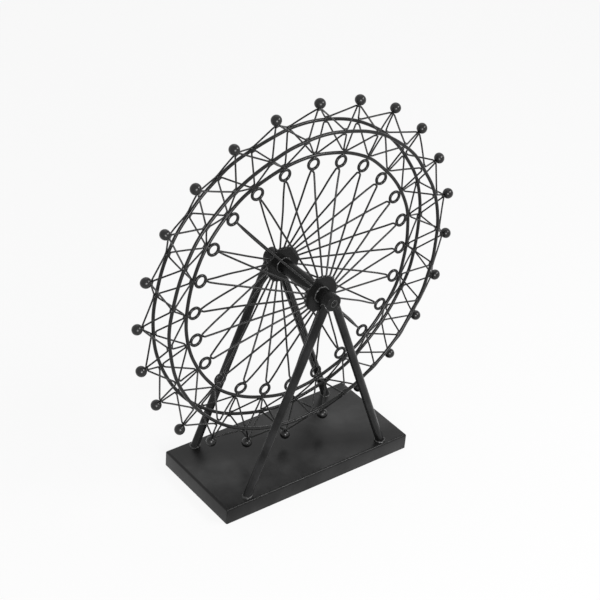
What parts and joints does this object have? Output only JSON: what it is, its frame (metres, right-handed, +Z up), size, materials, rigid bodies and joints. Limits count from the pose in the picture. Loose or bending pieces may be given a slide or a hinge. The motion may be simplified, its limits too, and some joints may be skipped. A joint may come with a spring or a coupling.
{
  "type": "table-top Ferris wheel of welded wire",
  "caption": "Table-top Ferris wheel of black welded steel wire: a trussed rim with balls, hairpin spokes and a hub that turn by hand on an axle between two A-frames on a folded base.",
  "frame": {"origin": "centre of the base's footprint, on the surface that it stands on", "axes": "+Z up, X along the base's long side, Y along the wheel's axle with the front at -Y"},
  "size_m": [0.3586, 0.103, 0.3838],
  "materials": {
    "base_sheet": "satin black paint on folded sheet steel",
    "bar": "satin black paint on steel bar and tube",
    "wire": "satin black paint on steel wire",
    "ball": "semi-gloss black paint on steel balls"
  },
  "bodies": {
    "stand": {"base": "base_sheet", "leg_front_left": "bar", "leg_front_right": "bar", "leg_back_left": "bar", "leg_back_right": "bar", "bearing_front": "bar", "bearing_back": "bar", "axle": "bar"},
    "wheel": {"hub_tube": "bar", "hub_flange_front": "bar", "hub_flange_back": "bar", "spokes": "wire", "eyelets": "wire", "hoop_inner": "wire", "hoop_front": "wire", "hoop_back": "wire", "truss_wire_inner_front": "wire", "truss_wire_inner_back": "wire", "truss_wire_outer_front": "wire", "truss_wire_outer_back": "wire", "ball_01": "ball", "ball_02": "ball", "ball_03": "ball", "ball_04": "ball", "ball_05": "ball", "ball_06": "ball", "ball_07": "ball", "ball_08": "ball", "ball_09": "ball", "ball_10": "ball", "ball_11": "ball", "ball_12": "ball", "ball_13": "ball", "ball_14": "ball", "ball_15": "ball", "ball_16": "ball", "ball_17": "ball", "ball_18": "ball", "ball_19": "ball", "ball_20": "ball", "ball_21": "ball", "ball_22": "ball", "ball_23": "ball", "ball_24": "ball"}
  },
  "joints": [
    {"name": "wheel_spin", "type": "hinge", "parent": "stand", "child": "wheel", "pos_m": [0, 0, 0.2045], "axis": [0, 1, 0], "continuous": true}
  ]
}
